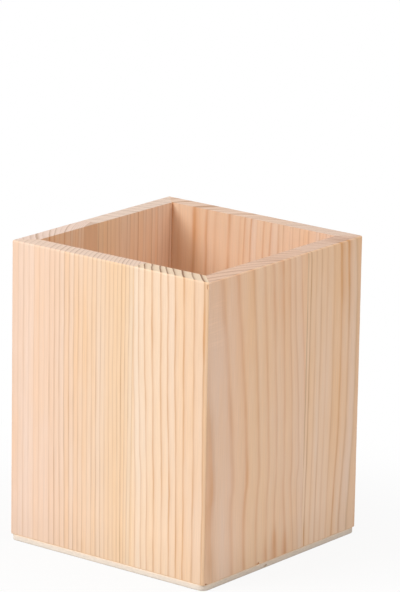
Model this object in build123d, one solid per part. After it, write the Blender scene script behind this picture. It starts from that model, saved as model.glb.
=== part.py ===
from build123d import *
import os
from math import sqrt

# A square, open-topped pen holder: four upright softwood boards with mitred corners,
# glued together and set on a thin base panel that is glued and pinned from below.
# Each board is cut from a panel of narrower staves, so it has one upright glued seam.
# Millimetres, +Z up. The origin is the middle of the underside. The front board faces -Y.

# Overall sizes and board thicknesses.
outer_width = 80.0
overall_height = 100.0
wall_thickness = 6.5
base_thickness = 2.0

# Seams between the two staves of each board, from the board's middle towards its right
# end as seen from outside.
front_seam = 10.3
right_seam = 10.6
back_seam = -12.5
left_seam = 5.0

# Sanded edges.
rim_radius = 0.7
upright_corner_radius = 0.9
wall_foot_bevel = 0.25
base_corner_radius = 2.6
base_edge_radius = 0.4

# Glue joints. The seams were sanded flush with the boards. The glue of the mitres and of
# the base stops short of every face that shows, so each of those joints is a hairline.
seam_glue_thickness = 0.1
mitre_glue_thickness = 0.1
base_glue_thickness = 0.1
glue_setback = 0.6

# Headless pins, driven up through the base panel and punched below its underside.
pin_diameter = 0.64
pin_length = 10.0
pin_point_length = 1.2
pin_point_diameter = 0.2
pin_set_depth = 0.3
pin_spacing = 40.0
pins_per_board = 2

# Places that follow from the sizes above.
half_outer = outer_width / 2
half_well = half_outer - wall_thickness
wall_middle = half_outer - wall_thickness / 2
wall_foot = base_thickness + base_glue_thickness
wall_height = overall_height - wall_foot


def upright_prism(outline, low, height):
    """A flat outline in plan, pulled up from the level low."""
    return Pos(0, 0, low) * extrude(outline, height)


def board_section():
    """The front board cut across: its rim is rounded on both sides, its foot bevelled outside."""
    section = Pos(-wall_middle, wall_foot + wall_height / 2) * Rectangle(wall_thickness, wall_height)
    rim_corners = section.vertices().group_by(Axis.Y)[-1]
    section = fillet(rim_corners, rim_radius)
    outer_foot = section.vertices().group_by(Axis.Y)[0].sort_by(Axis.X)[0]
    return Plane.YZ * chamfer(outer_foot, wall_foot_bevel)


def mitred_plan():
    """The front board from above: 45 degree ends that leave room for the glue."""
    glue_share = mitre_glue_thickness / sqrt(2)
    outside = half_outer - glue_share
    inside = half_well - glue_share
    corners = [(-outside, -half_outer), (outside, -half_outer), (inside, -half_well), (-inside, -half_well)]
    return make_face(Polyline(corners, close=True))


def front_board():
    """A board in the front place: mitred at both ends, with softened upright corners."""
    length = extrude(board_section(), half_outer, both=True)
    mitred = upright_prism(mitred_plan(), wall_foot, wall_height)
    softened = upright_prism(
        RectangleRounded(outer_width, outer_width, upright_corner_radius), wall_foot, wall_height
    )
    return length & mitred & softened


def glued_up(board, seam):
    """The board's left stave, seam glue and right stave, as seen from outside."""
    left_face = Plane.YZ.offset(seam - seam_glue_thickness / 2)
    right_face = Plane.YZ.offset(seam + seam_glue_thickness / 2)
    left_stave = split(board, bisect_by=left_face, keep=Keep.BOTTOM)
    right_stave = split(board, bisect_by=right_face, keep=Keep.TOP)
    past_left = split(board, bisect_by=left_face, keep=Keep.TOP)
    return left_stave, split(past_left, bisect_by=right_face, keep=Keep.BOTTOM), right_stave


def pin():
    """A headless pin that stands upright on its blunt end, with a short tapered point."""
    shank_length = pin_length - pin_point_length
    shank = extrude(Circle(pin_diameter / 2), shank_length)
    point = Cone(
        pin_diameter / 2,
        pin_point_diameter / 2,
        pin_point_length,
        align=(Align.CENTER, Align.CENTER, Align.MIN),
    )
    return shank + Pos(0, 0, shank_length) * point


def front_pin_places():
    """Where the pins of the front board stand, on the middle line of its thickness."""
    first = -pin_spacing * (pins_per_board - 1) / 2
    return [Pos(first + count * pin_spacing, -wall_middle, 0) for count in range(pins_per_board)]


def base_panel():
    """The base: flush with the boards, with rounded corners and softened edges all round."""
    panel = extrude(RectangleRounded(outer_width, outer_width, base_corner_radius), base_thickness)
    flat_edges = panel.faces().sort_by(Axis.Z)[0].edges() + panel.faces().sort_by(Axis.Z)[-1].edges()
    return fillet(flat_edges, base_edge_radius)


def base_glue_bed():
    """The glue under the boards: a square ring, set back from the outside and the well."""
    outside = outer_width - 2 * glue_setback
    inside = 2 * (half_well + glue_setback)
    ring = RectangleRounded(outside, outside, base_corner_radius - glue_setback) - Rectangle(inside, inside)
    return upright_prism(ring, base_thickness, base_glue_thickness)


def front_right_mitre_glue():
    """The glue in one mitre: a thin upright sheet from near the well to near the outer corner."""
    reach = wall_thickness * sqrt(2) - 2 * glue_setback
    height = wall_height - 2 * glue_setback
    sheet = Box(reach, mitre_glue_thickness, height)
    return Pos(wall_middle, -wall_middle, wall_foot + wall_height / 2) * Rot(0, 0, -45) * sheet


# The four boards stand a quarter turn apart, and so do their mitres and pins.
quarter_turns = [Rot(0, 0, 90 * turn) for turn in range(4)]
board_seams = {"front": front_seam, "right": right_seam, "back": back_seam, "left": left_seam}
corner_names = ["front_right", "back_right", "back_left", "front_left"]

pin_places = [turn * place for turn in quarter_turns for place in front_pin_places()]
one_pin = Pos(0, 0, pin_set_depth) * pin()
pins = [place * one_pin for place in pin_places]
base_hole = extrude(Circle(pin_diameter / 2), base_thickness)
base_holes = [place * base_hole for place in pin_places]

pieces = {}
for (side, seam), turn in zip(board_seams.items(), quarter_turns):
    left_stave, seam_glue, right_stave = glued_up(front_board(), seam)
    pieces[side + "_board_left_stave"] = turn * left_stave - pins
    pieces[side + "_board_seam_glue"] = turn * seam_glue - pins
    pieces[side + "_board_right_stave"] = turn * right_stave - pins
for corner, turn in zip(corner_names, quarter_turns):
    pieces[corner + "_mitre_glue"] = turn * front_right_mitre_glue()
pieces["base_glue_bed"] = base_glue_bed() - pins
pieces["base_panel"] = base_panel() - base_holes
pieces["base_pins"] = Compound(children=pins)

os.makedirs("parts", exist_ok=True)
for name, piece in pieces.items():
    export_step(piece, "parts/" + name + ".step")
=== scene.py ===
import math
import bmesh
import bpy
from mathutils import Matrix, Quaternion, Vector


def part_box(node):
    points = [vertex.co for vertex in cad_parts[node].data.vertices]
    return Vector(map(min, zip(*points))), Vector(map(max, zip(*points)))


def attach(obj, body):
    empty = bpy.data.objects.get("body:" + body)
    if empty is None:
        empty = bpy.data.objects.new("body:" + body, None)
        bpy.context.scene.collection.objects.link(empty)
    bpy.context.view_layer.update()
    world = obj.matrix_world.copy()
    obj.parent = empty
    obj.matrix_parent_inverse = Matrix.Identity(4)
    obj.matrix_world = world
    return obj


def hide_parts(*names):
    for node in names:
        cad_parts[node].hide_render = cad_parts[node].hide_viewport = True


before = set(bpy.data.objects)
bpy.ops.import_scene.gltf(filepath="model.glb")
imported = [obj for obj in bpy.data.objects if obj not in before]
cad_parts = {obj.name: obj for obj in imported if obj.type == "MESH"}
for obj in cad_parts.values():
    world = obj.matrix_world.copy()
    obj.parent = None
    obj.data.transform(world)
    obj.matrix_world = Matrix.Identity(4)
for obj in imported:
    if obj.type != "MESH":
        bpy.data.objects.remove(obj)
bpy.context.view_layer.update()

# The staves: strips of pale softwood with upright grain, glued in pairs into four boards that are
# mitred, joined into a square, sanded and left bare. One board blank is shaped in the front place,
# with its edges softened by hand, and each stave is sawn from a turned copy of that blank.
mm = 0.001
hair = 0.01 * mm
stave_low, stave_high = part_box("front_board_left_stave")
board_foot = stave_low.z
rim_level = stave_high.z
half_width = -stave_low.y
half_well = -stave_high.y
upright_corner_radius = 0.9 * mm
rim_radius = 0.7 * mm
foot_bevel = 0.1 * mm
slice_spacing = 2.5 * mm


def select_edges(wanted):
    """Selects the edges of the open mesh whose two ends pass the test."""
    shape = bmesh.from_edit_mesh(bpy.context.object.data)
    bpy.ops.mesh.select_mode(type="EDGE")
    bpy.ops.mesh.select_all(action="DESELECT")
    for edge in shape.edges:
        edge.select = wanted(edge.verts[0].co, edge.verts[1].co)
    bmesh.update_edit_mesh(bpy.context.object.data)


def cut(place, direction, keep_behind=True):
    """Saws the open mesh along a plane, and by default drops what lies on the side it points to."""
    bpy.ops.mesh.select_all(action="SELECT")
    bpy.ops.mesh.bisect(
        plane_co=place,
        plane_no=direction,
        use_fill=keep_behind,
        clear_outer=keep_behind,
        threshold=hair / 10,
    )


def block(name, low, high):
    """A cube between two corners, named, with its size and place in its mesh and open for editing."""
    bpy.ops.object.select_all(action="DESELECT")
    bpy.ops.mesh.primitive_cube_add(size=1, location=(low + high) / 2)
    bpy.context.object.name = name
    bpy.context.object.scale = high - low
    bpy.ops.object.transform_apply(location=True, rotation=False, scale=True)
    bpy.ops.object.mode_set(mode="EDIT")
    return bpy.context.object


# The blank starts as the outside of the whole box, because the round of an upright corner is
# shared by two boards and the mitre cuts through the middle of it.
blank_pattern = block(
    "blank_pattern",
    Vector((-half_width, -half_width, board_foot)),
    Vector((half_width, half_width, rim_level)),
)
select_edges(lambda a, b: abs(a.z - b.z) > hair)
bpy.ops.mesh.bevel(offset=upright_corner_radius, segments=8, affect="EDGES")
select_edges(lambda a, b: min(a.z, b.z) > rim_level - hair)
bpy.ops.mesh.bevel(offset=rim_radius, segments=6, affect="EDGES")
select_edges(lambda a, b: max(a.z, b.z) < board_foot + hair)
bpy.ops.mesh.bevel(offset=foot_bevel, segments=1, affect="EDGES")
cut((0, -half_well, 0), (0, 1, 0))
select_edges(lambda a, b: min(a.z, b.z) > rim_level - hair and min(a.y, b.y) > -half_well - hair)
bpy.ops.mesh.bevel(offset=rim_radius, segments=6, affect="EDGES")
for step in range(1, round(2 * half_width / slice_spacing)):
    cut((step * slice_spacing - half_width, 0, 0), (1, 0, 0), keep_behind=False)
for step in range(1, round((rim_level - board_foot) / slice_spacing)):
    cut((0, 0, board_foot + step * slice_spacing), (0, 0, 1), keep_behind=False)
bpy.ops.mesh.select_all(action="SELECT")
bpy.ops.mesh.normals_make_consistent(inside=False)
bpy.ops.object.mode_set(mode="OBJECT")

# Two pins come up into each board from below, in the middle of its thickness.
pin_radius = 0.32 * mm
pin_reach = 20 * mm
pin_line = -(half_width + half_well) / 2
pin_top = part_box("base_pins")[1].z


def pick(piece):
    """Makes a piece the only selected object, and the active one."""
    bpy.ops.object.select_all(action="DESELECT")
    piece.select_set(True)
    bpy.context.view_layer.objects.active = piece


def carve(piece, tool):
    """Takes the tool's shape out of a piece."""
    pick(piece)
    bpy.ops.object.modifier_add(type="BOOLEAN")
    piece.modifiers[-1].object = tool
    piece.modifiers[-1].operation = "DIFFERENCE"
    piece.modifiers[-1].solver = "EXACT"
    bpy.ops.object.modifier_apply(modifier=piece.modifiers[-1].name)


def drill(piece, places, low, high):
    """Bores upright pin holes between two levels."""
    for x, y in places:
        bpy.ops.object.select_all(action="DESELECT")
        bpy.ops.mesh.primitive_cylinder_add(
            vertices=20, radius=pin_radius, depth=high - low, location=(x, y, (low + high) / 2)
        )
        bit = bpy.context.object
        carve(piece, bit)
        bpy.data.objects.remove(bit)


drill(blank_pattern, [(-pin_reach, pin_line), (pin_reach, pin_line)], board_foot - mm, pin_top)

# Hand sanding takes a little more off the edges in some places than in others.
wear_depth = 0.1 * mm
wear_length = 6 * mm
sanding = bpy.data.textures.new("sanding_wear", type="CLOUDS")
sanding.noise_scale = wear_length
edge_zone = blank_pattern.vertex_groups.new(name="sanded_edges")
sanded = [
    corner.index
    for corner in blank_pattern.data.vertices
    if corner.co.z > rim_level - rim_radius - hair or abs(corner.co.x) > half_width - upright_corner_radius
]
edge_zone.add(sanded, 1, "REPLACE")


def copy_of(piece, name):
    """A copy with its own mesh, made the active object."""
    pick(piece)
    bpy.ops.object.duplicate()
    bpy.context.object.name = name
    bpy.context.object.data.name = name
    return bpy.context.object


sides = ("front", "right", "back", "left")
blanks = {}
for turn, side in enumerate(sides):
    blank = copy_of(blank_pattern, side + "_blank")
    blank.rotation_euler.z = math.radians(90 * turn)
    bpy.ops.object.transform_apply(location=False, rotation=True, scale=False)
    bpy.ops.object.modifier_add(type="DISPLACE")
    wear = blank.modifiers[-1]
    wear.texture = sanding
    wear.vertex_group = "sanded_edges"
    wear.mid_level = 0
    wear.strength = -wear_depth
    bpy.ops.object.modifier_apply(modifier=wear.name)
    blank.vertex_groups.clear()
    blanks[side] = blank
bpy.data.objects.remove(blank_pattern)


def linear(hex_colour):
    """An sRGB hex colour as linear red, green, blue and alpha."""
    shares = [int(hex_colour[i:i + 2], 16) / 255 for i in (1, 3, 5)]
    return [s / 12.92 if s <= 0.04045 else ((s + 0.055) / 1.055) ** 2.4 for s in shares] + [1]


def add(tree, kind, inputs, output=0, curve=(), ramp=(), **settings):
    """Adds a node with its settings, values and links, and returns one of its outputs, if it has any."""
    new = tree.nodes.new(kind)
    for setting, value in settings.items():
        setattr(new, setting, value)
    for socket, value in inputs.items():
        if isinstance(value, bpy.types.NodeSocket):
            tree.links.new(value, new.inputs[socket])
        else:
            new.inputs[socket].default_value = value
    for number, place in enumerate(curve):
        points = new.mapping.curves[0].points
        if number < 2:
            points[number].location = place
        else:
            points.new(*place)
        new.mapping.update()
    for number, (place, hex_colour) in enumerate(ramp):
        stops = new.color_ramp.elements
        stop = stops[number] if number < 2 else stops.new(place)
        stop.position = place
        stop.color = linear(hex_colour)
    return new.outputs[output] if new.outputs else None


def empty_material(name):
    """A material with an empty node tree."""
    material = bpy.data.materials.new(name)
    material.use_nodes = True
    material.node_tree.nodes.clear()
    return material


def trunk_rings(rings, heart):
    """Each ring's distance from the heart and its strength, with spare rings past both ends."""
    known = sorted((math.hypot(line - heart[0], heart[1]), strength) for line, strength in rings)
    inner, outer = known[1][0] - known[0][0], known[-1][0] - known[-2][0]
    inside = [(known[0][0] - n * inner, 0.5) for n in (4, 3, 2, 1)]
    outside = [(known[-1][0] + n * outer, 0.5) for n in (1, 2, 3, 4)]
    return inside + known + outside


# How dark a ring is from its first wood to its last: crisp in slow, hard wood and soft in wide rings.
crisp_rings = ((0, 0.9), (1, 1.0), (0.06, 0.35), (0.14, 0.0), (0.5, 0.04), (0.78, 0.25), (0.93, 0.85))
soft_rings = ((0, 0.95), (1, 1.0), (0.1, 0.45), (0.2, 0.06), (0.5, 0.05), (0.8, 0.32), (0.92, 0.85))


def patch(tree, place, along, up, reach_along, reach_up):
    """How deep in a soft oval patch of the board a place lies, from 0 at its edge to 1 in its middle."""
    from_middle = add(tree, "ShaderNodeVectorMath", {
        0: place, 1: (1 / reach_along, 0, 1 / reach_up), 2: (-along / reach_along, 0, -up / reach_up),
    }, operation="MULTIPLY_ADD")
    far = add(tree, "ShaderNodeVectorMath", {0: from_middle}, "Value", operation="LENGTH")
    return add(tree, "ShaderNodeMapRange", {
        "Value": far, "From Min": 1.0, "From Max": 0.2,
    }, interpolation_type="SMOOTHSTEP")


# Sizes of the wood's patterns in mm, across the grain and along it. The lines wander in long waves
# and in shorter ones that reach less far. The fibres and the cells of the end grain are several
# times coarser than real ones, which are too fine to show.
most_drift = 10
wander_waves = ((7, 24, 1.0), (2.5, 8, 0.4))
fade_length = 24
cloud_width, cloud_length = 8, 60
fibre_width, fibre_length = 0.4, 12
scuff_length, scuff_width = 9, 0.7
cell_size = 0.35
foot_shade_height = 13
line_relief = 0.03

# How far warm wood lies from the middle tint, what the painted shade near the floor leaves of the colour
# at the foot, and how much paler or darker than the wood around them the fibres, scuffs and cells are.
warm_shift = (0.008, -0.033, -0.07)
foot_shade_tint = (0.935, 0.94, 0.935)
fibre_contrast = 0.045
scuff_contrast = 0.055
cell_contrast = 0.12


def bare_softwood(
    name, turn, seed, heart, rings, profile, drift, lean, wander, tints, late_tints, end_tints,
    bends=(), resin=(), scuffs=(), cast=(1, 1, 1), round_highlight=1.03,
):
    """Sanded softwood without varnish: pale early wood that darkens into thin late-wood lines, with
    a nearly matt surface. heart is the trunk's middle, in mm along the board from its left end and
    in from its outer face, so a negative depth puts the heart outside that face. rings are the late
    lines' places on the outer face, each with its strength. drift gives how far the lines at some
    places move at most along the grain, lean how much of that at each height, bends the patches
    where they swerve besides, each with how far, and wander how far they stray everywhere. resin
    lists patches where the lines are broader and darker, each with how much, scuffs the patches
    with marks of sanding across the grain, cast what the early wood's colour is multiplied by at the
    foot, fading out towards the rim, and the last argument how much paler the round along the rim is
    painted, as a painted highlight where it turns up to the light.
    """
    material = empty_material(name)
    tree = material.node_tree
    # Places in mm: along the board, in from its outer face, and up.
    corner = half_width / mm
    place = add(tree, "ShaderNodeMapping", {
        "Vector": add(tree, "ShaderNodeTexCoord", {}, "Object"),
        "Location": (corner, corner, 0),
        "Rotation": (0, 0, math.radians(-90 * turn)),
        "Scale": (1 / mm, 1 / mm, 1 / mm),
    })
    split = add(tree, "ShaderNodeSeparateXYZ", {0: place}).node.outputs
    across = add(tree, "ShaderNodeMath", {0: split["X"], 1: 2 * corner}, operation="DIVIDE")
    height = add(tree, "ShaderNodeMath", {0: split["Z"], 1: rim_level / mm}, operation="DIVIDE")

    # The lines lean along the stave and wander a little, as the trunk did.
    furthest = add(tree, "ShaderNodeFloatCurve", {"Value": across}, curve=[
        (along / (2 * corner), 0.5 + moved / (2 * most_drift)) for along, moved in drift
    ])
    moved_most = add(tree, "ShaderNodeMapRange", {
        "Value": furthest, "To Min": -most_drift, "To Max": most_drift,
    })
    lean_here = add(tree, "ShaderNodeFloatCurve", {"Value": height}, curve=lean)
    leaned = add(tree, "ShaderNodeMath", {0: lean_here, 1: moved_most}, operation="MULTIPLY")
    straight = add(tree, "ShaderNodeMath", {0: split["X"], 1: leaned}, operation="SUBTRACT")
    for *where, moved in bends:
        inside = patch(tree, place, *where)
        swerve = add(tree, "ShaderNodeMath", {0: inside, 1: moved}, operation="MULTIPLY")
        straight = add(tree, "ShaderNodeMath", {0: straight, 1: swerve}, operation="SUBTRACT")
    for width, length, share in wander_waves:
        reach = share * wander
        stretched = add(tree, "ShaderNodeMapping", {
            "Vector": place,
            "Location": (seed, seed, seed),
            "Scale": (1 / width, 1 / width, 1 / length),
        })
        noise = add(tree, "ShaderNodeTexNoise", {"Vector": stretched, "Scale": 1, "Detail": 1})
        shift = add(tree, "ShaderNodeMath", {0: noise, 1: reach, 2: -reach / 2}, operation="MULTIPLY_ADD")
        straight = add(tree, "ShaderNodeMath", {0: straight, 1: shift}, operation="ADD")
    crossing = add(tree, "ShaderNodeCombineXYZ", {"X": straight, "Y": split["Y"]})
    radius = add(tree, "ShaderNodeVectorMath", {
        0: crossing, 1: (heart[0], heart[1], 0),
    }, "Value", operation="DISTANCE")

    # Each ring is pale where it starts and darkens outwards to its late wood, which ends abruptly.
    grown = trunk_rings(rings, heart)
    first, last, years = grown[0][0], grown[-1][0], len(grown) - 1
    share = add(tree, "ShaderNodeMapRange", {"Value": radius, "From Min": first, "From Max": last})
    order = [0, years] + list(range(1, years))
    counted = add(tree, "ShaderNodeFloatCurve", {"Value": share}, curve=[
        ((grown[n][0] - first) / (last - first), n / years) for n in order
    ])
    vigour = add(tree, "ShaderNodeFloatCurve", {"Value": counted}, curve=[
        (n / years, grown[n][1]) for n in order
    ])
    count = add(tree, "ShaderNodeMath", {0: counted, 1: years}, operation="MULTIPLY")
    season = add(tree, "ShaderNodeMath", {0: count}, operation="FRACT")
    ring = add(tree, "ShaderNodeMath", {0: count}, operation="FLOOR")
    line = add(tree, "ShaderNodeMath", {0: count}, operation="ROUND")
    darkness = add(tree, "ShaderNodeFloatCurve", {"Value": season}, curve=profile)

    # Along its length a line fades and comes back, each line in its own places: neighbours read the
    # noise several of its waves apart.
    own_strip = add(tree, "ShaderNodeMath", {0: line, 1: 3.7, 2: seed}, operation="MULTIPLY_ADD")
    along_line = add(tree, "ShaderNodeMath", {0: split["Z"], 1: fade_length}, operation="DIVIDE")
    line_place = add(tree, "ShaderNodeCombineXYZ", {"X": own_strip, "Y": along_line})
    line_noise = add(tree, "ShaderNodeTexNoise", {"Vector": line_place, "Scale": 1, "Detail": 2})
    fading = add(tree, "ShaderNodeMapRange", {
        "Value": line_noise, "From Min": 0.28, "From Max": 0.72, "To Min": 0.55, "To Max": 1.25,
    })
    rich = 0
    for *where, much in resin:
        inside = patch(tree, place, *where)
        spot = add(tree, "ShaderNodeMath", {0: inside, 1: much}, operation="MULTIPLY")
        rich = add(tree, "ShaderNodeMath", {0: spot, 1: rich}, operation="MAXIMUM")
    spread = add(tree, "ShaderNodeMath", {0: rich, 1: 1.0}, operation="ADD")
    thinness = add(tree, "ShaderNodeMath", {0: 1.0, 1: spread}, operation="DIVIDE")
    broad = add(tree, "ShaderNodeMath", {0: darkness, 1: thinness}, operation="POWER")
    boost = add(tree, "ShaderNodeMath", {0: rich, 1: 0.4, 2: 1.0}, operation="MULTIPLY_ADD")
    late = add(tree, "ShaderNodeMath", {0: broad, 1: vigour}, operation="MULTIPLY")
    late = add(tree, "ShaderNodeMath", {0: late, 1: fading}, operation="MULTIPLY")
    late = add(tree, "ShaderNodeMath", {0: late, 1: boost}, operation="MULTIPLY", use_clamp=True)

    # The early wood's tint drifts across the stave, from ring to ring and in long soft clouds.
    cloud_place = add(tree, "ShaderNodeMapping", {
        "Vector": place,
        "Location": (seed, 0, 0),
        "Scale": (1 / cloud_width, 1 / cloud_width, 1 / cloud_length),
    })
    cloud = add(tree, "ShaderNodeTexNoise", {
        "Vector": cloud_place, "Scale": 1, "Detail": 4, "Roughness": 0.65,
    })
    ring_luck = add(tree, "ShaderNodeTexWhiteNoise", {"W": ring}, "Value", noise_dimensions="1D")
    mood = add(tree, "ShaderNodeMath", {0: ring_luck, 1: 0.35, 2: cloud}, operation="MULTIPLY_ADD")
    early = add(tree, "ShaderNodeValToRGB", {"Fac": across}, ramp=tints)
    warmth = add(tree, "ShaderNodeMapRange", {
        "Value": mood, "From Min": 0.35, "From Max": 1.0, "To Min": -1, "To Max": 1,
    })
    warmer = add(tree, "ShaderNodeVectorMath", {0: warm_shift, "Scale": warmth}, operation="SCALE")
    early = add(tree, "ShaderNodeVectorMath", {0: early, 1: warmer}, operation="ADD")
    foot_cast = add(tree, "ShaderNodeMix", {
        "Factor": height, 4: cast, 5: (1, 1, 1),
    }, 1, data_type="VECTOR")
    early = add(tree, "ShaderNodeVectorMath", {0: early, 1: foot_cast}, operation="MULTIPLY")

    # Late wood is more orange in some rings and where resin gathers, and browner in others.
    line_luck = add(tree, "ShaderNodeTexWhiteNoise", {"W": line}, "Value", noise_dimensions="1D")
    orange = add(tree, "ShaderNodeMath", {0: line_luck, 1: rich}, operation="MAXIMUM")
    late_colour = add(tree, "ShaderNodeMix", {
        "Factor": orange, 6: linear(late_tints[0]), 7: linear(late_tints[1]),
    }, 2, data_type="RGBA")
    flank = add(tree, "ShaderNodeMix", {"Factor": late, 6: early, 7: late_colour}, 2, data_type="RGBA")

    # Fibres: fine upright streaks, a little paler and darker.
    fibre_place = add(tree, "ShaderNodeMapping", {
        "Vector": place, "Scale": (1 / fibre_width, 1 / fibre_width, 1 / fibre_length),
    })
    fibre = add(tree, "ShaderNodeTexNoise", {"Vector": fibre_place, "Scale": 1, "Detail": 3})
    fibre_tone = add(tree, "ShaderNodeMapRange", {
        "Value": fibre, "From Min": 0.25, "From Max": 0.75,
        "To Min": 1 - fibre_contrast, "To Max": 1 + fibre_contrast,
    })
    flank = add(tree, "ShaderNodeVectorMath", {0: flank, "Scale": fibre_tone}, operation="SCALE")

    # Scuffs: short pale marks of sandpaper, nearly level.
    for where in scuffs:
        scuff_place = add(tree, "ShaderNodeMapping", {
            "Vector": place,
            "Rotation": (0, math.radians(-3), 0),
            "Scale": (1 / scuff_length, 1, 1 / scuff_width),
        })
        scuff = add(tree, "ShaderNodeTexNoise", {"Vector": scuff_place, "Scale": 1, "Detail": 1})
        scuff_tone = add(tree, "ShaderNodeMapRange", {
            "Value": scuff, "From Min": 0.5, "From Max": 0.7, "To Max": patch(tree, place, *where),
        })
        paler = add(tree, "ShaderNodeMath", {
            0: scuff_tone, 1: scuff_contrast, 2: 1.0,
        }, operation="MULTIPLY_ADD")
        flank = add(tree, "ShaderNodeVectorMath", {0: flank, "Scale": paler}, operation="SCALE")

    # The round along the rim is made paler, a painted highlight where it turns up to the light, and the
    # foot is made darker, a painted shade near the floor.
    normal = add(tree, "ShaderNodeTexCoord", {}, "Normal")
    upward = add(tree, "ShaderNodeSeparateXYZ", {0: normal}, "Z")
    upright = add(tree, "ShaderNodeMath", {0: upward}, operation="ABSOLUTE")
    # Painted highlight: where the round at the rim turns upwards, the wood is made paler.
    round_highlight_tone = add(tree, "ShaderNodeMapRange", {
        "Value": upright, "From Min": 0.15, "From Max": 0.6, "To Min": 1.0, "To Max": round_highlight,
    }, interpolation_type="SMOOTHSTEP")
    flank = add(tree, "ShaderNodeVectorMath", {0: flank, "Scale": round_highlight_tone}, operation="SCALE")
    # Painted shade: the flank wood is made a little darker over the lowest part of the board, near the
    # floor.
    above_foot = add(tree, "ShaderNodeMapRange", {
        "Value": split["Z"], "From Min": board_foot / mm, "From Max": board_foot / mm + foot_shade_height,
    })
    foot_shading = add(tree, "ShaderNodeMix", {
        "Factor": above_foot, 4: foot_shade_tint, 5: (1, 1, 1),
    }, 1, data_type="VECTOR")
    flank = add(tree, "ShaderNodeVectorMath", {0: flank, 1: foot_shading}, operation="MULTIPLY")

    # On the end grain at the rim and the foot the early wood is rosier, and the late wood is brown.
    end_share = add(tree, "ShaderNodeMapRange", {
        "Value": upright, "From Min": 0.8, "From Max": 0.98,
    }, interpolation_type="SMOOTHSTEP")
    end_late = add(tree, "ShaderNodeMath", {0: late, 1: 1.4}, operation="MULTIPLY", use_clamp=True)
    end_wood = add(tree, "ShaderNodeMix", {
        "Factor": end_late, 6: linear(end_tints[0]), 7: linear(end_tints[1]),
    }, 2, data_type="RGBA")
    cells = add(tree, "ShaderNodeTexNoise", {"Vector": place, "Scale": 1 / cell_size, "Detail": 2})
    cell_tone = add(tree, "ShaderNodeMapRange", {
        "Value": cells, "To Min": 1 - cell_contrast, "To Max": 1 + cell_contrast,
    })
    end_wood = add(tree, "ShaderNodeVectorMath", {0: end_wood, "Scale": cell_tone}, operation="SCALE")
    colour = add(tree, "ShaderNodeMix", {"Factor": end_share, 6: flank, 7: end_wood}, 2, data_type="RGBA")

    # Sanding leaves the hard late wood a hair proud, and the surface between satin and matt.
    relief = add(tree, "ShaderNodeMath", {0: late, 1: 0.8, 2: fibre}, operation="MULTIPLY_ADD")
    bump = add(tree, "ShaderNodeBump", {
        "Height": relief, "Strength": 0.3, "Distance": line_relief * mm,
    })
    roughness = add(tree, "ShaderNodeMapRange", {"Value": late, "To Min": 0.66, "To Max": 0.54})
    shader = add(tree, "ShaderNodeBsdfPrincipled", {
        "Base Color": colour,
        "Roughness": roughness,
        "Normal": bump,
        "IOR": 1.5,
        "Specular IOR Level": 0.35,
    })
    add(tree, "ShaderNodeOutputMaterial", {"Surface": shader})
    return material


def grown_rings(start, spacing, number):
    """Late lines of good and bad years, with spacings and strengths that rise and fall."""
    rings = []
    for year in range(number):
        rings.append((start, 0.52 + 0.28 * math.sin(2.4 * year + spacing)))
        start += spacing * (1 + 0.32 * math.sin(0.8 * year + start) + 0.26 * math.sin(2.1 * year))
    return rings


# The lines on the two faces that show are set where the real ones are, in mm from the board's left
# end. Those on the other two boards are of the same kind. The narrow rings of the front board's
# left stave draw slowly closer together towards the seam.
front_left_strengths = (
    0.3, 0.26, 0.46, 0.28, 0.3, 0.36, 0.2, 0.54, 0.76, 0.66, 0.78, 0.78, 0.72, 0.6,
    0.54, 0.42, 0.66, 0.78, 0.6, 0.54, 0.54, 0.48, 0.54, 1.0, 0.66, 0.78, 0.48,
)
first_line, line_spacing, drawing_in = 0.6, 2.3, 0.0155
front_left_rings = [
    (first_line + line_spacing * n - drawing_in * n * n, strength)
    for n, strength in enumerate(front_left_strengths)
]
front_right_rings = (
    (50.1, 0.6), (52.1, 0.56), (54.4, 0.73), (57.4, 0.82), (60.9, 0.8), (63.7, 0.82), (66.6, 0.8),
    (70.1, 0.9), (74.3, 0.82), (78.1, 0.8),
)
right_left_rings = (
    (-4.2, 0.45), (7.2, 0.46), (15, 0.5), (22.8, 0.48), (28.5, 0.38), (33, 0.43), (37.9, 0.43),
    (41.4, 0.45), (44.1, 0.42), (47.4, 0.34),
)
right_right_rings = (
    (50.8, 0.9), (52.4, 0.9), (55.3, 0.38), (58.1, 0.5), (61.2, 0.32), (64.9, 0.42), (69.1, 0.66),
    (73.2, 0.6), (77.4, 0.55),
)
steady_lean = ((0, 1), (1, 0), (0.2, 0.93), (0.45, 0.6), (0.7, 0.22))
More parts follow.
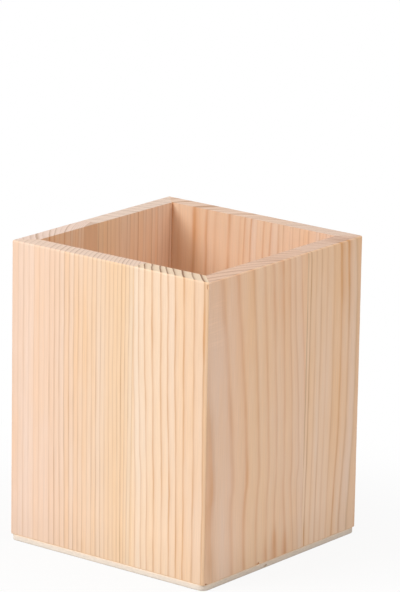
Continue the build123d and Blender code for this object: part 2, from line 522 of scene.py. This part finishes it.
stave_woods = {
    "front_left": bare_softwood(
        "sanded softwood, narrow rings", turn=0, seed=3.0, heart=(107, 36.6),
        rings=front_left_rings, profile=crisp_rings, wander=0.4,
        drift=(
            (0, 0.2), (80, 0), (17, 0.35), (21, 0.9), (23, 0.8), (25, 0.55), (28, 0.4), (46, 0.5),
            (48.4, -0.2),
        ),
        lean=((0, 1), (1, 0), (0.3, 0.5), (0.6, 0.1)),
        tints=((0, "#F5D4BC"), (0.64, "#F9DAB8"), (0.1, "#FADAC2"), (0.22, "#F9D5B8"), (0.36, "#F9D7B8")),
        late_tints=("#D3AC8B", "#D6A67B"), end_tints=("#F1D6C2", "#C6A790"),
        resin=[(30, 4, 2.2, 4, 0.8)], cast=(1.0, 1.012, 1.035),
    ),
    "front_right": bare_softwood(
        "sanded softwood, strong rings", turn=0, seed=11.0, heart=(144, 76),
        rings=front_right_rings, profile=crisp_rings, wander=0.9,
        drift=(
            (0, 1.8), (80, 0.5), (52, 1.8), (55, 2.4), (58, 2.3), (62.6, 1.7), (65.6, 1.9), (68.5, 1.8),
            (71.3, 1.1), (75, 0.6),
        ),
        lean=((0, 1), (1, 0), (0.14, 0.9), (0.32, 0.81), (0.45, 0.6), (0.62, 0.35), (0.81, 0.11)),
        tints=((0.62, "#FDE0C2"), (1, "#F9D4B1"), (0.78, "#FDE1C6"), (0.9, "#FBD9B9")),
        late_tints=("#D9AC84", "#DEA97A"), end_tints=("#F5DCBF", "#8A5C38"),
        resin=[(78.3, 84, 1.2, 14, 1.0)],
    ),
    "right_left": bare_softwood(
        "sanded softwood, wide rings", turn=1, seed=23.0, heart=(-20, -80),
        rings=right_left_rings, profile=soft_rings, wander=0.7,
        drift=(
            (0, 8.5), (80, 4), (3.3, 8), (13.5, 6.7), (20.7, 6.3), (27, 4.6), (32, 4), (36, 3.6), (40, 2.7),
            (44, 3), (48, 4),
        ),
        lean=(
            (0, 0.92), (1, 0), (0.14, 0.77), (0.2, 0.78), (0.27, 0.88), (0.32, 1), (0.42, 0.91),
            (0.52, 0.8), (0.61, 0.65), (0.71, 0.46), (0.81, 0.29), (0.9, 0.11),
        ),
        bends=[(8, 8, 13, 26, 1.9), (43, 3, 9, 28, 1.6)],
        tints=((0, "#F4CEB0"), (0.62, "#FAD4B5"), (0.18, "#FAD2B2"), (0.31, "#FBD7B7"), (0.44, "#FAD4B3")),
        late_tints=("#DCAE88", "#E09F6C"), end_tints=("#EBC7AE", "#B98C6F"),
        resin=[
            (31, 1, 2.5, 13, 1.2), (36, 1, 4, 15, 2.4), (41.6, 1, 3, 13, 2.4), (37, 91, 11, 23, 1.0),
            (2, 30, 4, 32, 0.8),
        ],
        scuffs=[(4, 86, 9, 15)], cast=(1.015, 1.07, 1.12), round_highlight=1.13,
    ),
    "right_right": bare_softwood(
        "sanded softwood, orange rings", turn=1, seed=37.0, heart=(110, 80),
        rings=right_right_rings, profile=soft_rings, wander=0.6,
        drift=((0, -0.8), (80, -2.8), (51.5, -0.8), (54.5, -0.9), (60, -1.3), (63, -1.7), (66.5, -2.6)),
        lean=((0, 1), (1, 0), (0.04, 1), (0.11, 0.84), (0.23, 0.55), (0.33, 0.22), (0.41, 0.07), (0.5, 0)),
        bends=[(74, 102, 16, 24, -0.8)],
        tints=((0.64, "#F9D5B4"), (1, "#F4CDAA"), (0.78, "#F9D5B5"), (0.9, "#F8D2B0")),
        late_tints=("#D3AE8A", "#E0A670"), end_tints=("#ECCBB5", "#BC9277"),
        resin=[(70.8, 97, 6, 32, 1.3), (52.2, 50, 1.6, 24, 0.4), (51.6, 3, 1.6, 12, 0.8)],
        cast=(1.075, 1.15, 1.27), round_highlight=1.13,
    ),
    "back_left": bare_softwood(
        "sanded softwood, even rings", turn=2, seed=51.0, heart=(-30, 80),
        rings=grown_rings(-1, 2.7, 13), profile=crisp_rings, wander=0.7,
        drift=((0, 3), (80, 0.4), (20, 2.2)), lean=steady_lean, bends=[(10, 66, 9, 26, -0.9)],
        tints=((0, "#FADAC2"), (0.35, "#FCDABC"), (0.18, "#FCDABE")),
        late_tints=("#D9B393", "#DCAE86"), end_tints=("#EFD4C1", "#B48F78"),
        resin=[(17, 4, 3, 14, 0.9)],
    ),
    "back_right": bare_softwood(
        "sanded softwood, broad rings", turn=2, seed=67.0, heart=(12, 42),
        rings=grown_rings(25, 4.6, 14), profile=soft_rings, wander=1.0,
        drift=((0, 6), (80, 1), (45, 4.6)), lean=steady_lean, bends=[(52, 8, 12, 26, 1.6)],
        tints=((0.34, "#FDDEC2"), (1, "#FAD6B4"), (0.6, "#FCD9BA")),
        late_tints=("#DDB088", "#E0A06C"), end_tints=("#F2D4BE", "#BF906C"),
        resin=[(41, 2, 4, 13, 1.6), (62, 95, 9, 22, 0.8)],
    ),
    "left_left": bare_softwood(
        "sanded softwood, close rings", turn=3, seed=79.0, heart=(120, 38),
        rings=grown_rings(-1, 2.1, 25), profile=crisp_rings, wander=0.5,
        drift=((0, 2.4), (80, 1), (22, 1.1)), lean=steady_lean, bends=[(14, 40, 10, 30, 0.9)],
        tints=((0, "#FADAC2"), (0.57, "#FCDCBA"), (0.3, "#FCDABD")),
        late_tints=("#D9B393", "#DCAE86"), end_tints=("#F4DCCB", "#B79C86"),
        resin=[(31, 6, 3, 12, 0.9)],
    ),
    "left_right": bare_softwood(
        "sanded softwood, open rings", turn=3, seed=97.0, heart=(30, 48),
        rings=grown_rings(43, 3.4, 13), profile=crisp_rings, wander=0.9,
        drift=((0, 3.6), (80, 1.2), (58, 3)), lean=steady_lean, bends=[(66, 58, 9, 26, 1.3)],
        tints=((0.56, "#FDDFC4"), (1, "#F8D3AF"), (0.8, "#FBD9B8")),
        late_tints=("#DDAA78", "#E2A76E"), end_tints=("#F4DACB", "#C9A88F"),
        resin=[(71, 96, 6, 24, 0.9)],
    ),
}


def sawn_from(side, turn, planes, name):
    """What is left of a board's blank behind some planes, given as they lie on the front board."""
    piece = copy_of(blanks[side], name)
    turned = Matrix.Rotation(math.radians(90 * turn), 3, "Z")
    bpy.ops.object.mode_set(mode="EDIT")
    for place, direction in planes:
        cut(turned @ Vector(place), turned @ Vector(direction))
    bpy.ops.object.mode_set(mode="OBJECT")
    return piece


def seam_of(side, turn):
    """Where the seam of a board starts and ends along the board, from its middle."""
    back_to_front = Matrix.Rotation(math.radians(-90 * turn), 3, "Z")
    return sorted((back_to_front @ corner).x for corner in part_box(side + "_board_seam_glue"))


# A mitre runs through the box's corner, and each board leaves half the room for its glue.
mitre_glue = 0.1 * mm
mitre_share = mitre_glue / math.sqrt(2)
left_mitre = ((mitre_share, 0, 0), (-1, 1, 0))
right_mitre = ((-mitre_share, 0, 0), (1, 1, 0))
staves = {}
for turn, side in enumerate(sides):
    seam_start, seam_end = seam_of(side, turn)
    sawing = {
        "left": (left_mitre, ((seam_start, 0, 0), (1, 0, 0))),
        "right": (right_mitre, ((seam_end, 0, 0), (-1, 0, 0))),
    }
    for hand, planes in sawing.items():
        stave = sawn_from(side, turn, planes, f"{side}_{hand}_stave")
        stave.data.materials.append(stave_woods[f"{side}_{hand}"])
        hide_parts(f"{side}_board_{hand}_stave")
        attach(stave, "root")
        staves[f"{side}_{hand}"] = stave


def splinter(pieces, place, size, turned):
    """Breaks a small flake out of some pieces: a turned block is cut away from each."""
    bpy.ops.object.select_all(action="DESELECT")
    bpy.ops.mesh.primitive_cube_add(
        size=1, location=Vector(place) * mm, rotation=[math.radians(angle) for angle in turned]
    )
    flake = bpy.context.object
    flake.scale = Vector(size) * mm
    for piece in pieces:
        carve(piece, flake)
    bpy.data.objects.remove(flake)


def smooth_over(piece, angle=40):
    """Shades round edges smooth and keeps flat faces flat."""
    pick(piece)
    bpy.ops.object.shade_smooth_by_angle(angle=math.radians(angle))
    bpy.ops.object.modifier_add(type="WEIGHTED_NORMAL")
    piece.modifiers[-1].keep_sharp = True
    piece.modifiers[-1].weight = 100
    bpy.ops.object.modifier_apply(modifier=piece.modifiers[-1].name)


# Small flakes that came off in making: at the foot of the right board, beside the front corner's
# foot, and out of that corner's joint just under the rim. Places and sizes are in mm.
wall_flake = {"place": (40.0, -12.5, 2.2), "size": (0.9, 1.5, 0.9), "turned": (20, 0, 0)}
foot_flake = {"place": (40.0, -38.9, 2.2), "size": (0.8, 0.9, 0.7), "turned": (-15, 0, 0)}
corner_flake = {"place": (39.4, -39.9, 98.5), "size": (0.5, 0.5, 1.4), "turned": (0, 0, -20)}
splinter([staves["right_left"]], **wall_flake)
splinter([staves["right_left"]], **foot_flake)
splinter([staves["front_right"], staves["right_left"]], **corner_flake)
for stave in staves.values():
    smooth_over(stave)

# The glue in the seams and mitres: white wood glue, cured to a clear honey colour and sanded flush
# with the boards, so that it hardly shows. Each line is a slice of the same blanks.
glue_blotch = 1.5 * mm
glue_line = empty_material("cured wood glue, sanded flush")
tree = glue_line.node_tree
glue_noise = add(tree, "ShaderNodeTexNoise", {
    "Vector": add(tree, "ShaderNodeTexCoord", {}, "Object"), "Scale": 1 / glue_blotch, "Detail": 2,
})
glue_colour = add(tree, "ShaderNodeMix", {
    "Factor": glue_noise, 6: linear("#F3D2AC"), 7: linear("#E2B98D"),
}, 2, data_type="RGBA")
glue_shader = add(tree, "ShaderNodeBsdfPrincipled", {
    "Base Color": glue_colour, "Roughness": 0.5, "IOR": 1.47,
})
add(tree, "ShaderNodeOutputMaterial", {"Surface": glue_shader})
corner_names = ("front_right", "back_right", "back_left", "front_left")
mitre_planes = (((-mitre_share, 0, 0), (-1, -1, 0)), ((mitre_share, 0, 0), (1, 1, 0)))
for turn, side in enumerate(sides):
    seam_start, seam_end = seam_of(side, turn)
    seam_planes = (((seam_start, 0, 0), (-1, 0, 0)), ((seam_end, 0, 0), (1, 0, 0)))
    seam = sawn_from(side, turn, seam_planes, f"{side}_seam_line")
    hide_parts(f"{side}_board_seam_glue")
    mitre = sawn_from(side, turn, mitre_planes, f"{corner_names[turn]}_mitre_line")
    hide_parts(f"{corner_names[turn]}_mitre_glue")
    if corner_names[turn] == "front_right":
        splinter([mitre], **corner_flake)
    for line in (seam, mitre):
        smooth_over(line)
        line.data.materials.append(glue_line)
        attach(line, "root")
for blank in blanks.values():
    bpy.data.objects.remove(blank)

# The glue bed under the boards: the same glue, squeezed out thin between the boards' feet and the
# base, and wiped off level with the outside. It is a flat square frame with the pins through it.
glue_low, glue_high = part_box("base_glue_bed")
glue_wiped = 0.08 * mm
bed_width = half_width - half_well - 2 * glue_wiped
pin_places = [(end * pin_reach, row * pin_line) for end in (1, -1) for row in (1, -1)]
pin_places += [(y, x) for x, y in pin_places]
bpy.ops.object.select_all(action="DESELECT")
bpy.ops.mesh.primitive_plane_add(size=2 * (half_width - glue_wiped), location=(0, 0, glue_low.z))
glue_bed = bpy.context.object
glue_bed.name = "base_glue_line"
bpy.ops.object.transform_apply(location=True, rotation=False, scale=False)
bpy.ops.object.mode_set(mode="EDIT")
bpy.ops.mesh.select_all(action="SELECT")
bpy.ops.mesh.bevel(offset=upright_corner_radius, segments=4, affect="VERTICES")
bpy.ops.mesh.select_all(action="SELECT")
bpy.ops.mesh.inset(thickness=bed_width)
bpy.ops.mesh.delete(type="FACE")
bpy.ops.mesh.select_all(action="SELECT")
bpy.ops.mesh.extrude_region_move(TRANSFORM_OT_translate={"value": (0, 0, glue_high.z - glue_low.z)})
bpy.ops.mesh.select_all(action="SELECT")
bpy.ops.mesh.normals_make_consistent(inside=False)
bpy.ops.object.mode_set(mode="OBJECT")
drill(glue_bed, pin_places, glue_low.z - mm, glue_high.z + mm)
smooth_over(glue_bed)
glue_bed.data.materials.append(glue_line)
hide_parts("base_glue_bed")
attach(glue_bed, "root")

# The base: a thin panel of three birch plies, cut flush with the boards, with rounded corners and
# edges eased all round. It is glued under the boards and pinned from below.
base_low, base_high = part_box("base_panel")
base_corner_radius = 2.6 * mm
base_edge_radius = 0.3 * mm
ply_levels = (base_low.z + 0.66 * mm, base_low.z + 1.34 * mm)
core_recess = 0.05 * mm
base = block("plywood_base", base_low, base_high)
select_edges(lambda a, b: abs(a.z - b.z) > hair)
bpy.ops.mesh.bevel(offset=base_corner_radius, segments=10, affect="EDGES")
select_edges(lambda a, b: abs(a.z - b.z) < hair)
bpy.ops.mesh.bevel(offset=base_edge_radius, segments=5, affect="EDGES")
for level in ply_levels:
    for side_of_line in (-hair, hair):
        cut((0, 0, level + side_of_line), (0, 0, 1), keep_behind=False)
select_edges(lambda a, b: min(a.z, b.z) > ply_levels[0] and max(a.z, b.z) < ply_levels[1])
bpy.ops.mesh.select_mode(type="FACE")
bpy.ops.transform.shrink_fatten(value=-core_recess)
bpy.ops.object.mode_set(mode="OBJECT")
drill(base, pin_places, base_low.z - mm, base_high.z + mm)
base_flake = {"place": (40.0, -8.5, 0.75), "size": (1.0, 1.6, 0.6), "turned": (4, 0, 0)}
splinter([base], **base_flake)
smooth_over(base)

# Sanded birch plywood: creamy, paler and less orange than the boards. The faces have long faint
# stripes, and the edges show the plies, with the two face plies cut along or across the grain. On the
# edges the colour is painted greyer and darker towards the underside, a painted shade under the eased
# bottom edge next to the floor.
speck_width, speck_height = 1.2, 0.3
stripe_length, stripe_width = 70, 2.2
ply_relief = 0.05 * mm
ply_wood = empty_material("sanded birch plywood")
tree = ply_wood.node_tree
ply_place = add(tree, "ShaderNodeMapping", {
    "Vector": add(tree, "ShaderNodeTexCoord", {}, "Object"), "Scale": (1 / mm, 1 / mm, 1 / mm),
})
ply_height = add(tree, "ShaderNodeSeparateXYZ", {0: ply_place}, "Z")
base_thickness = (base_high.z - base_low.z) / mm
ply_share = add(tree, "ShaderNodeMath", {0: ply_height, 1: base_thickness}, operation="DIVIDE")
# Painted shade: the lowest part of the edge ramp is grey and dark; the rest gives the plies' tones.
ply_bands_and_shade = add(tree, "ShaderNodeValToRGB", {"Fac": ply_share}, ramp=(
    (0, "#C4B9AD"), (1, "#F7E4CE"), (0.14, "#DFD4C8"), (0.32, "#EBE0D4"), (0.66, "#ECE0D3"),
    (0.82, "#F2E2D1"),
))
speck_place = add(tree, "ShaderNodeMapping", {
    "Vector": ply_place, "Scale": (1 / speck_width, 1 / speck_width, 1 / speck_height),
})
specks = add(tree, "ShaderNodeTexNoise", {"Vector": speck_place, "Scale": 1, "Detail": 3})
speck_tone = add(tree, "ShaderNodeMapRange", {
    "Value": specks, "From Min": 0.3, "From Max": 0.7, "To Min": 0.93, "To Max": 1.05,
})
edge_wood = add(tree, "ShaderNodeVectorMath", {0: ply_bands_and_shade, "Scale": speck_tone}, operation="SCALE")
ply_normal = add(tree, "ShaderNodeTexCoord", {}, "Normal")
ply_facing = add(tree, "ShaderNodeSeparateXYZ", {0: ply_normal}).node.outputs
cut_across = add(tree, "ShaderNodeMath", {0: ply_facing["X"]}, operation="ABSOLUTE")
cut_tone = add(tree, "ShaderNodeMapRange", {
    "Value": cut_across, "From Min": 0.4, "From Max": 0.8, "To Min": 1.06, "To Max": 0.95,
})
edge_wood = add(tree, "ShaderNodeVectorMath", {0: edge_wood, "Scale": cut_tone}, operation="SCALE")
stripe_place = add(tree, "ShaderNodeMapping", {
    "Vector": ply_place, "Scale": (1 / stripe_length, 1 / stripe_width, 1),
})
stripes = add(tree, "ShaderNodeTexNoise", {"Vector": stripe_place, "Scale": 1, "Detail": 4})
face_wood = add(tree, "ShaderNodeValToRGB", {"Fac": stripes}, ramp=((0.3, "#F7E6D2"), (0.7, "#EBD3B8")))
lying_flat = add(tree, "ShaderNodeMath", {0: ply_facing["Z"]}, operation="ABSOLUTE")
face_share = add(tree, "ShaderNodeMath", {0: lying_flat, 1: 0.9}, operation="GREATER_THAN")
ply_colour = add(tree, "ShaderNodeMix", {
    "Factor": face_share, 6: edge_wood, 7: face_wood,
}, 2, data_type="RGBA")
ply_bump = add(tree, "ShaderNodeBump", {"Height": specks, "Strength": 0.3, "Distance": ply_relief})
ply_shader = add(tree, "ShaderNodeBsdfPrincipled", {
    "Base Color": ply_colour,
    "Roughness": 0.62,
    "Normal": ply_bump,
    "IOR": 1.5,
    "Specular IOR Level": 0.35,
})
add(tree, "ShaderNodeOutputMaterial", {"Surface": ply_shader})
base.data.materials.append(ply_wood)
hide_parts("base_panel")
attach(base, "root")

# The pins: short lengths of bright drawn steel wire, driven up through the base into the boards
# and punched just below its underside. They keep the frame's shapes, and the wire has fine streaks
# along it from the die.
streak_width, streak_length = 0.1 * mm, 3 * mm
pin_steel = empty_material("bright drawn steel wire")
tree = pin_steel.node_tree
pin_place = add(tree, "ShaderNodeMapping", {
    "Vector": add(tree, "ShaderNodeTexCoord", {}, "Object"),
    "Scale": (1 / streak_width, 1 / streak_width, 1 / streak_length),
})
draw_marks = add(tree, "ShaderNodeTexNoise", {"Vector": pin_place, "Scale": 1, "Detail": 2})
pin_colour = add(tree, "ShaderNodeMix", {
    "Factor": draw_marks, 6: linear("#B9B9B7"), 7: linear("#9A9A98"),
}, 2, data_type="RGBA")
pin_shader = add(tree, "ShaderNodeBsdfPrincipled", {
    "Base Color": pin_colour, "Metallic": 1.0, "Roughness": 0.35,
})
add(tree, "ShaderNodeOutputMaterial", {"Surface": pin_shader})
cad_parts["base_pins"].data.materials.clear()
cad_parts["base_pins"].data.materials.append(pin_steel)

# The studio: a plain white floor and surround, a large soft lamp at the left and a weaker warm one
# at the right. The camera stands where the photograph was taken from. Near the object a tenth of
# what the floor shows is the light that falls on it, which keeps the shadow.
floor_radius = 1.6
shadow_near, shadow_far = 0.04, 0.14
bpy.ops.object.select_all(action="DESELECT")
bpy.ops.mesh.primitive_circle_add(vertices=96, radius=floor_radius, fill_type="NGON", location=(0, 0, 0))
floor = bpy.context.object
floor.name = "studio_floor"


def seen_rays(tree):
    """1 for rays that the camera sees, straight, in a reflection or through glass, and 0 for the rest."""
    rays = add(tree, "ShaderNodeLightPath", {}).node.outputs
    seen = add(tree, "ShaderNodeMath", {
        0: rays["Is Camera Ray"], 1: rays["Is Glossy Ray"],
    }, operation="MAXIMUM")
    return add(tree, "ShaderNodeMath", {0: seen, 1: rays["Is Transmission Ray"]}, operation="MAXIMUM")


paper = empty_material("matt white paper")
tree = paper.node_tree
lit = add(tree, "ShaderNodeBsdfDiffuse", {"Color": linear("#E6E4E1")})
glow = add(tree, "ShaderNodeEmission", {"Color": (1, 1, 1, 1), "Strength": 1.0})
floor_place = add(tree, "ShaderNodeTexCoord", {}, "Object")
floor_far = add(tree, "ShaderNodeVectorMath", {0: floor_place}, "Value", operation="LENGTH")
whiteness = add(tree, "ShaderNodeMapRange", {
    "Value": floor_far, "From Min": shadow_near, "From Max": shadow_far, "To Min": 0.9, "To Max": 1.0,
}, interpolation_type="SMOOTHSTEP")
glow_share = add(tree, "ShaderNodeMath", {0: seen_rays(tree), 1: whiteness}, operation="MULTIPLY")
mixed = add(tree, "ShaderNodeMixShader", {0: glow_share, 1: lit, 2: glow})
add(tree, "ShaderNodeOutputMaterial", {"Surface": mixed})
floor.data.materials.append(paper)

world = bpy.data.worlds.new("white_surround")
bpy.context.scene.world = world
world.use_nodes = True
tree = world.node_tree
tree.nodes.clear()
strength = add(tree, "ShaderNodeMapRange", {"Value": seen_rays(tree), "To Min": 0.42, "To Max": 1.0})
sky = add(tree, "ShaderNodeBackground", {"Color": (1, 1, 1, 1), "Strength": strength})
add(tree, "ShaderNodeOutputWorld", {"Surface": sky})


def lamp(name, place, aim, size, power, tint):
    """A square soft box at a place, turned towards what it is aimed at."""
    light = bpy.data.lights.new(name, "AREA")
    light.shape = "SQUARE"
    light.size = size
    light.energy = power
    light.color = linear(tint)[:3]
    holder = bpy.data.objects.new(name, light)
    bpy.context.scene.collection.objects.link(holder)
    holder.location = place
    holder.rotation_euler = (Vector(aim) - Vector(place)).to_track_quat("-Z", "Y").to_euler()


box_middle = (0, 0, 0.05)
lamp("key_lamp", place=(-0.55, -0.9, 0.85), aim=box_middle, size=0.7, power=10.75, tint="#FFFFFF")
lamp("fill_lamp", place=(0.85, 0.1, 0.8), aim=box_middle, size=0.8, power=3.05, tint="#FFF3E6")

camera = bpy.data.objects.new("camera", bpy.data.cameras.new("camera"))
bpy.context.scene.collection.objects.link(camera)
bpy.context.scene.camera = camera
azimuth = math.radians(38.095)
elevation = math.radians(15.023)
roll = math.radians(0.991)
distance = 1.3423
aim = Vector((-0.00925, 0.01836, 0.07531))
back = Vector((
    math.sin(azimuth) * math.cos(elevation),
    -math.cos(azimuth) * math.cos(elevation),
    math.sin(elevation),
))
camera.location = aim + back * distance
camera.rotation_euler = (Quaternion(back, roll) @ (-back).to_track_quat("-Z", "Y")).to_euler()
camera.data.sensor_width = 36
camera.data.lens = 250.82
camera.data.clip_end = 10
bpy.context.scene.view_settings.view_transform = "Standard"
